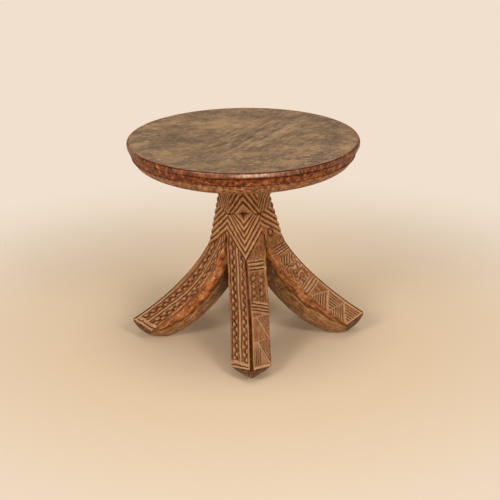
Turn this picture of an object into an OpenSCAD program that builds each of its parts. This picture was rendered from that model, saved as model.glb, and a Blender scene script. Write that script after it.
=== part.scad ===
// Carved wooden stool: a round seat on a square carved neck, which parts into four splayed legs.
// The real stool is carved from one log. Each region of the log is a solid of its own here.
// The solids meet face to face, with no joint or peg that the real stool lacks.
// Millimetres, +Z up, origin on the floor midway between the feet, front leg towards -Y.

/* [Seat] */
// Diameter across the polished rim
seat_d = 310; // [240:1:400]
// Height of the polished rim band
rim_h = 6.6; // [4:0.2:12]
// Radius that softens the rim's top edge
rim_round = 1.4; // [0.6:0.2:3]
// How far the rim band bows out between its edges
rim_bow = 0.3; // [0:0.1:1]
// Height of the tooled bevel under the rim
bevel_h = 12; // [6:0.5:20]
// How far the bevel draws in towards the axis
bevel_in = 6.4; // [2:0.2:14]
// Height of the plain band under the groove
band_h = 8.6; // [5:0.2:18]
// How far the plain band draws in towards the axis
band_in = 5.4; // [2:0.2:12]
// Depth of the scribed line between the bevel and the plain band
scribe_d = 1; // [0.4:0.1:2]
// Height of the underside, from the neck up to the plain band
under_h = 33.2; // [20:0.2:60]
// Diameter of the boss where the underside meets the neck
boss_d = 90; // [86:1:130]
// How far the seat stands to one side of the feet, along X
seat_shift = -4.2; // [-8:0.2:8]

/* [Neck] */
// Height of the neck, from where the legs part to the seat's underside
neck_h = 78.4; // [50:0.2:110]
// How far the neck is turned about its axis from the line of the feet, in degrees
neck_turn = -4; // [-8:0.5:8]
// Radius to the neck's corners where the legs part
neck_base_r = 49.6; // [44:0.2:60]
// Radius to the neck's corners at the waist
waist_corner_r = 36; // [30:0.2:42]
// Radius to the middle of the neck's faces at the waist
waist_face_r = 27; // [22:0.2:32]
// Height of the flare just under the seat
flare_h = 20; // [8:1:30]
// How far the flare spreads out
flare_out = 5; // [2:0.5:8]
// Chevron ribs down each corner, below the middle of the lozenge
ribs_below = 5; // [3:1:7]
// Chevron ribs up each corner, above the middle of the lozenge
ribs_above = 3; // [1:1:4]
// Half ribs from a corner to the middle of a face
ribs_across = 7; // [5:2:9]
// Depth of the cuts between the ribs
rib_d = 1.8; // [0.8:0.1:2.6]
// Depth of the star recess in the middle of each lozenge
star_d = 4; // [2:0.2:6]

/* [Legs] */
// Width of each leg
leg_w = 53; // [44:0.5:60]
// Height at which the legs part
crotch_h = 145; // [120:1:180]
// Height of the hollow under the middle of the stool
arch_h = 113; // [90:1:116]
// Reach of the pointed toes from the middle of the stool
toe_r = 161; // [145:1:190]
// Height of the ridge's end on the left and rear toes
toe_h = 27; // [22:0.5:34]
// Height of the ridge's end on the right toe, which is cut a little higher
right_toe_h = 30; // [22:0.5:34]
// Height of the ridge's end on the front toe, which is cut lower
front_toe_h = 22; // [18:0.5:34]
// Reach of the side corners of the feet
corner_r = 134; // [124:1:140]
// How far the side corners lie below the ridge's end
corner_drop = 7; // [2:0.5:9]
// Reach of the sole's outer end on the left, right and rear legs
sole_r = 135; // [124:0.5:142]
// Reach of the sole's outer end on the front leg, which is a little longer
front_sole_r = 139.5; // [124:0.5:142]
// Reach at which the arch underneath would come down to the floor
arch_r = 124; // [118:1:134]
// Steepness of the arch underneath
arch_power = 1.8; // [1.5:0.05:2.2]
// How far the soles rise again towards the toes
toe_lift = 2; // [0:0.1:4]
// Reach at which the soles begin to rise
lift_r = 116; // [104:1:122]
// How much of the soles has been worn flat
wear = 0.8; // [0.3:0.1:1.5]
// Half width of the groove along each ridge at the toe
groove_w = 2.2; // [1:0.1:3]
// Depth of the groove along each ridge
groove_d = 3; // [1:0.2:4]
// How far the carved slopes swell between the ridge and the side edges
slope_swell = 0.8; // [0:0.1:2]
// How far the toe's cut face swells out
toe_swell = 1; // [0:0.2:3]

/* [Hidden] */

seat_r = seat_d / 2;
neck_top = crotch_h + neck_h;
scribe_z = neck_top + under_h + band_h;
seat_h = scribe_z + bevel_h + rim_h;
rib_pitch = neck_h / (ribs_below + ribs_above);

// Bezier curve through p0 and p3 with the handles p1 and p2, at t from 0 to 1
function bezier(p0, p1, p2, p3, t) =
    pow(1 - t, 3) * p0 + 3 * pow(1 - t, 2) * t * p1 + 3 * (1 - t) * t * t * p2 + t * t * t * p3;

function mix(a, b, t) = a + (b - a) * t;

// The same curve with each handle given as its shares of the way across and up from p0 to p3
function sagging(p0, h1, h2, p3, t) =
    bezier(p0, [mix(p0[0], p3[0], h1[0]), mix(p0[1], p3[1], h1[1])],
           [mix(p0[0], p3[0], h2[0]), mix(p0[1], p3[1], h2[1])], p3, t);

// A falling curve from p0 to p1. bend holds its angle below the level and its handle's share
// of the distance between the ends, at p0 and then at p1.
function falling(p0, p1, bend, t) =
    let (d = norm(p1 - p0))
    bezier(p0, p0 + bend[1] * d * [cos(bend[0]), -sin(bend[0])],
           p1 - bend[3] * d * [cos(bend[2]), -sin(bend[2])], p1, t);

// A smooth rise from 0 at the height z0 to 1 at the height z1
function rise(z, z0, z1) =
    let (s = min(1, max(0, (z - z0) / (z1 - z0)))) s * s * (3 - 2 * s);

// Sideways lean and turn of the wood at height z: none in the feet, all of it in the neck
lean_from = 0.7 * crotch_h;
turn_from = 0.4 * crotch_h;
turn_to = 1.1 * crotch_h;
function lean(z) = seat_shift * rise(z, lean_from, neck_top);
function turn(z) = neck_turn * rise(z, turn_from, turn_to);

// Takes [r, b, z], which is out along a leg, across it and up, to the leg's bearing in the
// leaning and turning wood
function place(p, bearing) =
    let (a = bearing + turn(p[2]))
    [p[0] * cos(a) - p[1] * sin(a) + lean(p[2]), p[0] * sin(a) + p[1] * cos(a), p[2]];

// Seat: one turned outline, from the middle of its underside round to the middle of its top
under_steps = 10;
under_low = [0.08, 0.36];
under_high = [0.8, 0.5];
rim_steps = 6;
scribe_r = seat_r - bevel_in;
band_r = scribe_r - band_in;

function seat_outline() = concat(
    [[0, neck_top]],
    [for (i = [0 : under_steps])
        sagging([boss_d / 2, neck_top], under_low, under_high, [band_r, neck_top + under_h],
                i / under_steps)],
    [[scribe_r, scribe_z - scribe_d], [scribe_r - scribe_d, scribe_z],
     [scribe_r, scribe_z + scribe_d]],
    [for (i = [0 : rim_steps])
        bezier([seat_r - rim_bow, seat_h - rim_h], [seat_r + rim_bow, seat_h - rim_h / 2],
               [seat_r, seat_h], [seat_r - rim_round, seat_h], i / rim_steps)],
    [[0, seat_h]]);

module seat() {
    color("peru")
        translate([seat_shift, 0, 0])
            rotate_extrude($fn = 96)
                polygon(seat_outline());
}

// Neck: rings of points on a square tube. Its ribs are chevrons below the middle of the lozenge
// on each corner and inverted above it, so every second grid point along them is cut in.
ring_n = 8 * ribs_across;
rows_below = 2 * ribs_below;
rows_above = 2 * ribs_above;
neck_rows = rows_below + rows_above;
neck_base_face_r = leg_w * sqrt(1 / 2);

function flare(z) = flare_out * pow(max(0, (z - neck_top + flare_h) / flare_h), 2);
function taper(base, waist, z) =
    mix(base, waist, min(1, (z - crotch_h) / (neck_h - flare_h))) + flare(z);

// How far the carving cuts in, k half ribs from the middle of the lozenge
function rib_cut(k) = k == 0 ? star_d : k % 2 == 1 ? rib_d : 0;

function neck_point(row, c) =
    let (z = crotch_h + row * rib_pitch / 2,
         side = floor(c / ribs_across),
         across = c % ribs_across,
         from_corner = side % 2 == 0 ? across : ribs_across - across,
         corner_bearing = 45 * (side % 2 == 0 ? side : side + 1),
         face_bearing = 45 * (side % 2 == 0 ? side + 1 : side),
         rc = taper(neck_base_r, waist_corner_r, z),
         rf = taper(neck_base_face_r, waist_face_r, z),
         p = mix(rc * [cos(corner_bearing), sin(corner_bearing)],
                 rf * [cos(face_bearing), sin(face_bearing)], from_corner / ribs_across),
         cut = rib_cut(from_corner + abs(row - rows_below)),
         q = p * (1 - cut / norm(p)))
    place([q[0], q[1], z], 0);

// Two triangles over one cell of the neck's grid, split along the rib that crosses it
function neck_cell(row, c) =
    let (a = row * ring_n + c,
         b = row * ring_n + (c + 1) % ring_n,
         rises = (floor(c / ribs_across) % 2 == 0) == (row < rows_below))
    rises ? [[a, a + ring_n, b + ring_n], [a, b + ring_n, b]]
          : [[a, a + ring_n, b], [b, a + ring_n, b + ring_n]];

module neck() {
    base_middle = (neck_rows + 1) * ring_n;
    top_ring = neck_rows * ring_n;
    color("sienna")
        polyhedron(
            concat(
                [for (row = [0 : neck_rows]) for (c = [0 : ring_n - 1]) neck_point(row, c)],
                [place([0, 0, crotch_h], 0), place([0, 0, neck_top], 0)]),
            concat(
                [for (c = [0 : ring_n - 1]) [base_middle, c, (c + 1) % ring_n]],
                [for (row = [0 : neck_rows - 1]) for (c = [0 : ring_n - 1])
                    each neck_cell(row, c)],
                [for (c = [0 : ring_n - 1])
                    [base_middle + 1, top_ring + (c + 1) % ring_n, top_ring + c]]));
}

// Legs: rings of points lofted between the ridge, the side edges and the keel underneath.
// Each ring runs from the keel up the belly to a side edge, over the slope and into the groove.
leg_rows = 30;
belly_steps = 6;
edge_at = belly_steps;
swell_at = belly_steps + 1;
lip_at = belly_steps + 2;
groove_at = belly_steps + 3;
leg_ring = 2 * groove_at;

// Angle and handle share at the start and the end of the ridge and of the side edges. The ridge
// hangs a little lower on the left and rear legs.
ridge_bend = [70, 0.19, 34, 0.37];
low_ridge_bend = [72, 0.19, 33, 0.42];
edge_bend = [62, 0.275, 35, 0.43];

// What differs from leg to leg: height of the ridge's end, bend of the ridge, reach of the sole
front_form = [front_toe_h, ridge_bend, front_sole_r];
right_form = [right_toe_h, ridge_bend, sole_r];
rear_form = [toe_h, low_ridge_bend, sole_r];
left_form = [toe_h, low_ridge_bend, sole_r];

// The belly's handles: shares of the way down from the side edge to the keel, and their widths
// at the neck and at the toe as shares of half the leg's width
high_share = 0.7;
low_share = 1.02;
high_width = [1.03, 0.5];
low_width = [0.55, 0.05];

// The same handles where the legs part, kept inside the upright planes that two legs share
groin_high = [0.47 * leg_w, mix(arch_h, crotch_h, 0.28)];
groin_low = [0.23 * leg_w, arch_h - 1];

// The handles of the toe's front edge, as shares of the way out and up from the sole
toe_low = [0.42, 0.17];
toe_high = [0.82, 0.52];

function ridge(t, form) =
    falling([neck_base_r, crotch_h], [toe_r, form[0]], form[1], t);
function side_edge(t, form) =
    falling([leg_w / 2, crotch_h], [corner_r, form[0] - corner_drop], edge_bend, t);
function keel(t, form) =
    let (r = form[2] * t * t)
    [r, arch_h * pow(max(0, 1 - r / arch_r), arch_power) - wear
        + toe_lift * rise(r, lift_r, form[2])];

// One point of a leg's ring, k steps from the keel up to the groove, on the side s = 1 or -1.
// What would reach below the floor is worn off flat, which makes the sole.
function leg_point(t, k, s, form) =
    let (e = side_edge(t, form), q = keel(t, form), r = ridge(t, form), half = leg_w / 2,
         near_crotch = pow(1 - t, 4),
         h1 = mix(mix(e, q, high_share), groin_high, near_crotch),
         h2 = mix(mix(e, q, low_share), groin_low, near_crotch),
         b1 = min(h1[0], half * mix(high_width[0], high_width[1], pow(t, 4))),
         b2 = min(h2[0], half * mix(low_width[0], low_width[1], t)),
         lip = mix(groove_w / 3, groove_w, t) / half,
         down = groove_d * min(1, 4 * t))
    k <= edge_at ?
        let (p = bezier([q[0], 0, q[1]], [h2[0], b2, h2[1]], [h1[0], b1, h1[1]],
                        [e[0], half, e[1]], k / belly_steps))
        [p[0], s * p[1], max(0, p[2])]
    : k == swell_at ? [mix(e[0], r[0], 0.5) + slope_swell * t, s * half / 2,
                       mix(e[1], r[1], 0.5) + slope_swell * t]
    : k == lip_at ? [mix(r[0], e[0], lip), s * half * lip, mix(r[1], e[1], lip)]
    : [r[0] - down / 2, 0, r[1] - down];

function ring_point(t, j, form) =
    j <= groove_at ? leg_point(t, j, 1, form) : leg_point(t, leg_ring - j, -1, form);

// The toe's front edge, from the sole up to the ridge's end
function toe_stem(k, form) =
    let (q = leg_point(1, 0, 1, form), r = leg_point(1, groove_at, 1, form),
         p = sagging([q[0], q[2]], toe_low, toe_high, [r[0], r[2]], k / groove_at))
    [p[0], 0, p[1]];

// The toe's cut face, halfway from the ring to the stem
function toe_cheek(k, s, form) =
    (leg_point(1, k, s, form) + toe_stem(k, form)) / 2 + [toe_swell, 0, 0];

// The two triangles of a four-sided cell, or the one that is left where two corners are one
function cell(a, b, c, d) =
    [for (f = [[a, b, c], [a, c, d]]) if (f[0] != f[1] && f[1] != f[2] && f[2] != f[0]) f];

module leg(bearing, form) {
    inner = groove_at - 1;
    last = leg_rows * leg_ring;
    cheeks = last + leg_ring;
    stem = cheeks + 2 * inner;
    hub = stem + inner;
    points = concat(
        [for (i = [0 : leg_rows]) for (j = [0 : leg_ring - 1]) ring_point(i / leg_rows, j, form)],
        [for (s = [1, -1]) for (k = [1 : inner]) toe_cheek(k, s, form)],
        [for (k = [1 : inner]) toe_stem(k, form)],
        [[0, 0, crotch_h]]);
    // Index of point k on the ring's last row, on the cheek and on the stem, on the side s.
    // All three share the ring's own keel and groove points as their ends.
    function rim_at(k, s) = last + (s > 0 ? k : (leg_ring - k) % leg_ring);
    function cheek_at(k, s) =
        k % groove_at == 0 ? rim_at(k, s) : cheeks + (s > 0 ? 0 : inner) + k - 1;
    function stem_at(k) = k % groove_at == 0 ? rim_at(k, 1) : stem + k - 1;
    // The toe's cells on the side s, turned about on the far side so that they all face out
    function toe_cells(s) =
        [for (k = [0 : inner])
            each concat(
                cell(rim_at(k, s), cheek_at(k, s), cheek_at(k + 1, s), rim_at(k + 1, s)),
                cell(cheek_at(k, s), stem_at(k), stem_at(k + 1), cheek_at(k + 1, s)))];
    color("saddlebrown")
        polyhedron([for (p = points) place(p, bearing)], concat(
            [for (j = [0 : leg_ring - 1]) [hub, j, (j + 1) % leg_ring]],
            [for (i = [0 : leg_rows - 1]) for (j = [0 : leg_ring - 1])
                let (a = i * leg_ring + j, b = i * leg_ring + (j + 1) % leg_ring)
                each cell(a, a + leg_ring, b + leg_ring, b)],
            toe_cells(1),
            [for (f = toe_cells(-1)) [f[0], f[2], f[1]]]));
}

module leg_front() { leg(-90, front_form); }
module leg_right() { leg(0, right_form); }
module leg_rear() { leg(90, rear_form); }
module leg_left() { leg(180, left_form); }

seat();
neck();
leg_front();
leg_right();
leg_rear();
leg_left();
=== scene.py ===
from math import cos, pi, radians, sin, tau

import bpy
import numpy as np
from mathutils import Matrix, Vector, noise


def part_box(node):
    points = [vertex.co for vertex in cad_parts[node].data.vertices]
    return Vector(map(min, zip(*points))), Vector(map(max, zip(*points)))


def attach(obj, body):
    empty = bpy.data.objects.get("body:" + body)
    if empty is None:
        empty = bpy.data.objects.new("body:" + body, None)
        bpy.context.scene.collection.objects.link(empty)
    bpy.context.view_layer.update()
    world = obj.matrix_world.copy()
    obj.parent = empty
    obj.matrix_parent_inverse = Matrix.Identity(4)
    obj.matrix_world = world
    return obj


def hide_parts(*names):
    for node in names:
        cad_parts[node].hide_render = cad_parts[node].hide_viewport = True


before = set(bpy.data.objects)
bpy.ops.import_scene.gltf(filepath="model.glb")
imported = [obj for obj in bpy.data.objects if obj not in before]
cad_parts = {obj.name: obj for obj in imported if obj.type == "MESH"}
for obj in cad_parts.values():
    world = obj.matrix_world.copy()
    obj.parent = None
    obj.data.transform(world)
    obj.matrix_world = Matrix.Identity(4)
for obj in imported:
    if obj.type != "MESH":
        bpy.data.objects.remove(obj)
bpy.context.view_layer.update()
mm = 0.001
weld_within = 0.000002


# Camera: a long lens, a little above the seat and a little left of the front leg,
# which looks down at the stool by 21 degrees.
camera_spot = Vector((-0.0349, -1.7198, 0.7855))
camera_turn = 0.0221
camera_dip = 0.3665
camera_roll = -0.0119

bpy.ops.object.camera_add()
camera = bpy.context.object
camera.data.lens = 97.45
camera.data.sensor_width = 36
camera.matrix_world = (
    Matrix.Translation(camera_spot)
    @ Matrix.Rotation(-camera_turn, 4, "Z")
    @ Matrix.Rotation(pi / 2 - camera_dip, 4, "X")
    @ Matrix.Rotation(camera_roll, 4, "Z")
)
bpy.context.scene.camera = camera
bpy.context.scene.view_settings.view_transform = "Standard"


# Floor and backdrop: one plain matt sheet, level under the stool and swept up behind it.
# It is beige board that takes the stool's shadow, and pales to an even wall further out.
def tint(red, green, blue):
    """A paint chart's colour, 0 to 255 in each part, as a shader takes it."""
    return (*[(c / 255 / 12.92 if c < 10 else ((c / 255 + 0.055) / 1.055) ** 2.4)
              for c in (red, green, blue)], 1)


def node(tree, kind, sockets, **settings):
    """A shader node with its settings, and each socket filled or joined."""
    made = tree.nodes.new("ShaderNode" + kind)
    for name, value in settings.items():
        setattr(made, name, value)
    for name, value in sockets.items():
        if isinstance(value, bpy.types.NodeSocket):
            tree.links.new(value, made.inputs[name])
        else:
            made.inputs[name].default_value = value
    return made


def new_finish(name):
    material = bpy.data.materials.new(name)
    material.use_nodes = True
    return material, material.node_tree, material.node_tree.nodes["Principled BSDF"]


def spread(tree, value, low, high, to_low, to_high):
    """The value, with low laid on to_low and high on to_high."""
    return node(tree, "MapRange", {"Value": value, "From Min": low, "From Max": high,
                                   "To Min": to_low, "To Max": to_high}).outputs[0]


def maths(tree, way, a, b):
    return node(tree, "Math", {0: a, 1: b}, operation=way, use_clamp=True).outputs[0]


floor_half = 6.0
sweep_from = 3.0
sweep_rise = 4.0
pales_from, pales_to = 0.2, 0.75
wall_tint = tint(241, 224, 205)

bpy.ops.object.select_all(action="DESELECT")
bpy.ops.mesh.primitive_grid_add(x_subdivisions=8, y_subdivisions=48, size=2 * floor_half)
floor = bpy.context.object
floor.name = "floor"
for v in floor.data.vertices:
    v.co.z = sweep_rise * (max(0, v.co.y - sweep_from) / (floor_half - sweep_from)) ** 2
bpy.ops.object.shade_smooth()
board, tree, shader = new_finish("painted_board")
shader.inputs["Base Color"].default_value = (0.71, 0.562, 0.398, 1)
shader.inputs["Roughness"].default_value = 0.9
shader.inputs["Specular IOR Level"].default_value = 0.2
where = node(tree, "TexCoord", {}).outputs["Object"]
from_stool = node(tree, "VectorMath", {0: where}, operation="LENGTH").outputs["Value"]
far_out = node(tree, "MapRange", {"Value": from_stool, "From Min": pales_from, "From Max": pales_to},
               interpolation_type="SMOOTHSTEP").outputs[0]
ray = node(tree, "LightPath", {}).outputs
seen = maths(tree, "ADD", ray["Is Camera Ray"],
             maths(tree, "ADD", ray["Is Glossy Ray"], ray["Is Transmission Ray"]))
pale_wall = node(tree, "Emission", {"Color": wall_tint}).outputs[0]
both = node(tree, "MixShader", {0: maths(tree, "MULTIPLY", far_out, seen),
                                1: shader.outputs[0], 2: pale_wall}).outputs[0]
tree.links.new(both, tree.nodes["Material Output"].inputs["Surface"])
floor.data.materials.append(board)


# Light: two wide soft lamps in front, one on each side, so that each leg has two faint shadows
# that run back from it, a softer lamp overhead, a low window that shines on the rim, and an
# even pale room.
stool_middle = Vector((0, 0, 0.15))


def softbox(name, spot, width, watts, warmth):
    bpy.ops.object.light_add(type="AREA", location=spot)
    lamp = bpy.context.object
    lamp.name = name
    lamp.data.shape = "DISK"
    lamp.data.size = width
    lamp.data.energy = watts
    lamp.data.color = warmth
    lamp.visible_camera = False
    aim = stool_middle - Vector(spot)
    lamp.rotation_euler = aim.to_track_quat("-Z", "Y").to_euler()


softbox("left_lamp", (-1.9, -2.3, 1.9), 1.1, 44, (1.0, 0.95, 0.88))
softbox("right_lamp", (1.7, -2.5, 2.1), 1.1, 42, (1.0, 0.95, 0.88))
softbox("top_lamp", (0.1, -0.3, 3.0), 1.6, 28, (1.0, 0.96, 0.9))
softbox("window", (0.35, -2.4, 0.55), 0.8, 12, (1.0, 0.97, 0.92))
room = bpy.data.worlds.new("room")
room.use_nodes = True
tree = room.node_tree
glow = tree.nodes["Background"]
glow.inputs["Color"].default_value = (1.0, 0.94, 0.86, 1)
glow.inputs["Strength"].default_value = 0.4
wall = node(tree, "Background", {"Color": wall_tint, "Strength": 1}).outputs[0]
both = node(tree, "MixShader", {0: node(tree, "LightPath", {}).outputs["Is Camera Ray"],
                                1: glow.outputs[0], 2: wall}).outputs[0]
tree.links.new(both, tree.nodes["World Output"].inputs["Surface"])
bpy.context.scene.world = room


# Seat: a thick disc, carved from the log and finished by hand. The top is worn grey, the rim
# is polished by use and carries a painted highlight at the front, the bevel under it keeps its
# gouge marks, and a scribed line parts the bevel from a plain band.
seat_low, seat_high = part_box("seat")
seat_x = (seat_low.x + seat_high.x) / 2
seat_r = (seat_high.x - seat_low.x) / 2
rim_h = 6.6 * mm
rim_bow = 0.3 * mm
rim_round = 1.4 * mm
bevel_h = 12 * mm
bevel_in = 6.4 * mm
band_h = 8.6 * mm
band_in = 5.4 * mm
scribe_d = 1 * mm
boss_r = 45 * mm
pole_r = 0.5 * mm
seat_steps = 640
# Width in mm of a gouge mark in the bevel and of a facet in the band
gouge_w, facet_w = 5.2, 13


def unit(x):
    """0 below 0, 1 above 1 and a smooth rise between."""
    x = np.clip(x, 0, 1)
    return x * x * (3 - 2 * x)


def bezier(p0, p1, p2, p3, t):
    return (1 - t) ** 3 * p0 + 3 * (1 - t) ** 2 * t * p1 + 3 * (1 - t) * t * t * p2 + t**3 * p3


def waver(points, size, seed):
    """A smooth random value, about -0.7 to 0.7, at each point, with waves of that size."""
    shift = Vector((seed * 3.1, seed * 1.7, seed * 2.3))
    return np.array([noise.noise(Vector(p) / size + shift) for p in points])


def spots_of(piece):
    spots = np.empty(len(piece.data.vertices) * 3)
    piece.data.vertices.foreach_get("co", spots)
    return spots.reshape(-1, 3)


def move_to(piece, spots):
    piece.data.vertices.foreach_set("co", np.asarray(spots, float).ravel())
    piece.data.update()


def paint(piece, name, values):
    """Stores a number for each vertex, which the finish reads by that name."""
    layer = piece.data.attributes.new(name, "FLOAT", "POINT")
    layer.data.foreach_set("value", np.asarray(values, np.float32).ravel())


def turned_profile():
    """Radius and height round the seat's outline, from under its middle to its top's middle."""
    base, top = seat_low.z, seat_high.z
    scribe_z = top - rim_h - bevel_h
    scribe_r = seat_r - bevel_in
    band_r = scribe_r - band_in
    band_z = scribe_z - band_h
    shares = [(0.08, 0.36), (0.8, 0.5)]
    under = [(boss_r + a * (band_r - boss_r), base + b * (band_z - base)) for a, b in shares]
    curves = [
        ([(pole_r, base), (boss_r, base)], 8),
        ([(boss_r, base), *under, (band_r, band_z)], 26),
        ([(band_r, band_z), (scribe_r, scribe_z - scribe_d)], 9),
        ([(scribe_r, scribe_z - scribe_d), (scribe_r - scribe_d, scribe_z)], 3),
        ([(scribe_r - scribe_d, scribe_z), (scribe_r, scribe_z + scribe_d)], 3),
        ([(scribe_r, scribe_z + scribe_d), (seat_r - rim_bow, top - rim_h)], 15),
        ([(seat_r - rim_bow, top - rim_h), (seat_r + rim_bow, top - rim_h / 2),
          (seat_r, top), (seat_r - rim_round, top)], 12),
        ([(seat_r - rim_round, top), (pole_r, top)], 44),
    ]
    path = [curves[0][0][0]]
    for stops, steps in curves:
        ends = [np.array(p) for p in stops]
        for t in np.linspace(0, 1, steps + 1)[1:]:
            path.append(bezier(*ends, t) if len(ends) == 4 else ends[0] * (1 - t) + ends[1] * t)
    return path


bpy.ops.object.select_all(action="DESELECT")
bpy.ops.mesh.primitive_plane_add(size=0.001)
seat = bpy.context.object
seat.name = "seat_disc"
outline = turned_profile()
bpy.ops.object.mode_set(mode="EDIT")
bpy.ops.mesh.merge(type="CENTER")
bpy.ops.transform.translate(value=(seat_x + outline[0][0], 0, outline[0][1]))
for (r0, z0), (r1, z1) in zip(outline, outline[1:]):
    bpy.ops.mesh.extrude_region_move(TRANSFORM_OT_translate={"value": (r1 - r0, 0, z1 - z0)})
bpy.ops.mesh.select_all(action="SELECT")
bpy.ops.mesh.spin(steps=seat_steps, angle=tau, center=(seat_x, 0, 0), axis=(0, 0, 1))
bpy.ops.mesh.select_all(action="SELECT")
bpy.ops.mesh.remove_doubles(threshold=weld_within)
bpy.ops.mesh.select_all(action="DESELECT")
bpy.ops.mesh.select_non_manifold()
bpy.ops.mesh.fill_holes(sides=0)
bpy.ops.mesh.select_all(action="SELECT")
bpy.ops.mesh.normals_make_consistent(inside=False)
bpy.ops.object.mode_set(mode="OBJECT")

# Each mark is worked inward from the turned shape, in millimetres, and told to the finish.
flat = spots_of(seat)
out = (flat - [seat_x, 0, 0]) / mm
reach = np.hypot(out[:, 0], out[:, 1])
radial = out / np.maximum(reach, 0.01)[:, None] * [1, 1, 0]
level = (seat_high.z - flat[:, 2]) / mm
along = np.arctan2(out[:, 1], out[:, 0]) * seat_r / mm
rim_mm, bevel_mm, band_mm = rim_h / mm, (rim_h + bevel_h) / mm, (rim_h + bevel_h + band_h) / mm
ring = radial * (seat_r / mm)
wave_55, wave_30, wave_9 = waver(ring, 55, 1), waver(ring, 30, 2), waver(out, 9, 3)
on_top = unit((0.02 - level) / 0.02)
on_side = 1 - unit((level - band_mm) / 3)

scallop = (along + 0.9 * level) / gouge_w + 1.6 * wave_30 + 0.6 * wave_9
scallop = 1 - (2 * (scallop % 1) - 1) ** 2
in_bevel = unit((level - rim_mm - 0.6) / 4.5) * unit((bevel_mm - 0.8 - level) / 1.5)
facet = 1 - (2 * ((along / facet_w + 1.5 * wave_55) % 1) - 1) ** 2
in_band = unit((level - bevel_mm - 1) / 2) * unit((band_mm + 6 - level) / 4)
near_edge = unit((reach - seat_r / mm + 12) / 10)
to_right = out[:, 0] / seat_r * mm
worn_away = unit((-0.52 - to_right) / 0.2) + 0.7 * unit((to_right - 0.74) / 0.12)
rolled = 1.2 * np.maximum(0, 1 - level / rim_mm) ** 1.5 * near_edge
rolled = rolled + 1.1 * worn_away * np.exp(-(((level - rim_mm) / 3.6) ** 2)) * near_edge
inward = (
    on_side * (1 - on_top) * (0.3 + 0.45 * wave_55 + 0.2 * wave_30 + 0.12 * wave_9)
    + in_bevel * (0.5 * scallop + 0.4 * (wave_9 + 0.5))
    + in_band * (0.3 * facet + 0.3 * (wave_9 + 0.5))
)
rough_edge = unit((reach - seat_r / mm + 6) / 5)
sink = on_top * (1 - rough_edge) * (0.5 + 0.5 * waver(out, 60, 4) + 0.12 * wave_9)
inward = np.maximum(inward, 0) + rolled
worked = out - radial * inward[:, None] - np.array([0, 0, 1]) * np.maximum(sink, 0)[:, None]
move_to(seat, worked * mm + [seat_x, 0, 0])

# The side's colours change round it: the rim fades away to the left, and the far left is grey.
rim_low = rim_mm + 0.7 + 0.9 * wave_30 + 0.5 * wave_9
edge_line = unit((1.4 - level) / 0.5) * (1 - on_top)
line = (
    np.exp(-(((level - bevel_mm) / 0.8) ** 2)) * (0.75 + 0.5 * wave_30)
    + np.exp(-(((level - rim_low - 0.4) / 1.1) ** 2)) * (1 - 0.6 * np.minimum(worn_away, 1))
    + edge_line * (0.85 + 0.4 * wave_9) * unit((to_right + 0.98) / 0.2)
)
paint(seat, "cut", np.clip(line + in_bevel * 0.6 * unit(0.55 - scallop), 0, 1))
greyed = 0.8 * unit((-0.86 - to_right) / 0.1) * unit((rim_mm + 3 + 3 * wave_9 - level) / 3) * (1 - on_top)
paint(seat, "top", np.maximum(greyed, unit((0.35 - level) / 0.3)
                              * unit((seat_r / mm - 1.6 - reach + 1.6 * wave_9) / 1.2)))
paint(seat, "rim", unit((rim_low - level) / 0.8) * (1 - 0.85 * np.minimum(worn_away, 1)))
paint(seat, "bevel", unit((bevel_mm - level) / 0.8))
# A painted highlight: the rim's face is painted paler at the front, where the window lamp also glints on
# it.
painted_highlight = np.exp(-(((to_right - 0.055) / 0.18) ** 2)) * unit((level - 1) / 1.2) * unit((5.8 - level) / 1.5)
paint(seat, "painted_highlight", painted_highlight * unit((rim_low - level) / 0.8))

bpy.ops.object.shade_smooth_by_angle(angle=radians(38))


def patches(points, *blots):
    """Soft blots on the top: where in mm, half length and width in mm, its bearing, strength."""
    total = np.zeros(len(points))
    for x, y, half_long, half_wide, bearing, strength in blots:
        c, s = cos(radians(bearing)), sin(radians(bearing))
        dx, dy = points[:, 0] - x, points[:, 1] - y
        q = ((dx * c + dy * s) / half_long) ** 2 + ((dy * c - dx * s) / half_wide) ** 2
        total += strength * np.exp(-q)
    return total


paint(seat, "dark", np.clip(patches(
    out, (-97, 2, 44, 17, 86, 1.0), (-106, -34, 26, 12, 60, 0.7), (123, -10, 30, 13, 80, 1.0),
    (2, 26, 70, 13, 62, 0.8), (-30, -120, 12, 60, 80, 0.4), (78, 92, 10, 50, 85, 0.5),
    (45, -12, 50, 5, 60, 0.6), (-8, -22, 60, 10, 60, 0.5), (-50, 30, 40, 16, 70, 0.35),
    (130, 60, 30, 20, 80, 0.4), (-20, 148, 8, 60, 88, 0.5)) + 0.3 * waver(out, 25, 5), 0, 1))
paint(seat, "pale", np.clip(patches(
    out, (-140, -26, 16, 9, 70, 0.9), (131, -54, 9, 12, 20, 1.0), (-126, 62, 10, 14, 60, 0.9),
    (28, -8, 74, 4, 58, 0.8), (-22, 66, 20, 46, 80, 0.8), (62, 44, 52, 6, 62, 0.6),
    (92, -54, 11, 8, 80, 0.9), (60, -40, 40, 6, 60, 0.5), (10, 52, 60, 5, 64, 0.5),
    (-100, -60, 50, 8, 100, 0.4)) + 0.25 * waver(out, 22, 6), 0, 1))
paint(seat, "swept", np.clip(patches(
    out, (10, 20, 105, 42, 62, 1.0), (70, 20, 60, 30, 60, 0.6)), 0, 1))


def grain(tree, size, stretch, turn, detail, sharp, swirl=0):
    """Noise with marks of that size in metres, stretched along a bearing of the plan or upright."""
    where = node(tree, "TexCoord", {}).outputs["Object"]
    laid = node(tree, "Mapping", {"Vector": where, "Rotation": (0, 0, radians(turn)),
                                  "Scale": stretch}, vector_type="TEXTURE")
    return node(tree, "TexNoise", {"Vector": laid.outputs[0], "Scale": 1 / size, "Detail": detail,
                                   "Roughness": sharp, "Distortion": swirl}).outputs[0]


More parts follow.
